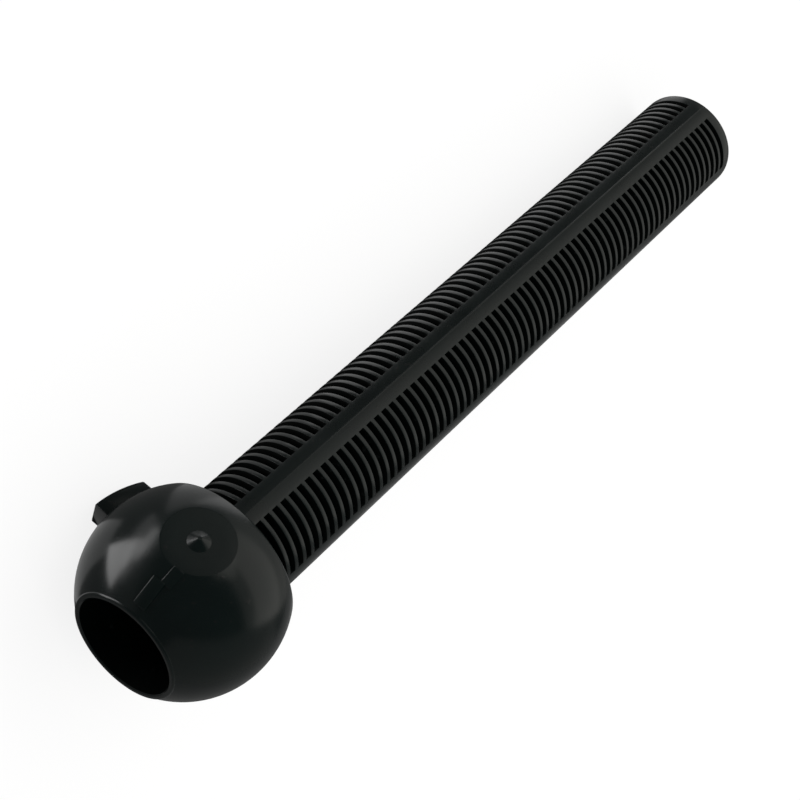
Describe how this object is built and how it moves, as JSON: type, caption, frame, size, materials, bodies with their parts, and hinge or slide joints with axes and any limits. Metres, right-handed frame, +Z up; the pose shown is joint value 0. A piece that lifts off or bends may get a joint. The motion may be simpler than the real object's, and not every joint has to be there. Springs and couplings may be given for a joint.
{
  "type": "sand filter nozzle",
  "caption": "Slotted sand filter nozzle moulded in one piece: a closed tube with rows of narrow ring slots, and an open ball end with a locating key that seats in a hub.",
  "frame": {"origin": "Centre of the ball end, on the tube's axis.", "axes": "+X runs from the ball to the closed end of the tube, +Z is up, and +Y is the side on which the key touches the ground. The part lies as it comes to rest, on the ball, the key and the edge of the closed end, so the tube's axis dips towards +X by about 2.4 degrees and the flat of the ball faces up and towards +Y."},
  "size_m": [0.2035, 0.04, 0.04],
  "materials": {
    "black_plastic": "smooth moulded"
  },
  "bodies": {
    "root": {"nozzle": "black_plastic"}
  },
  "joints": []
}
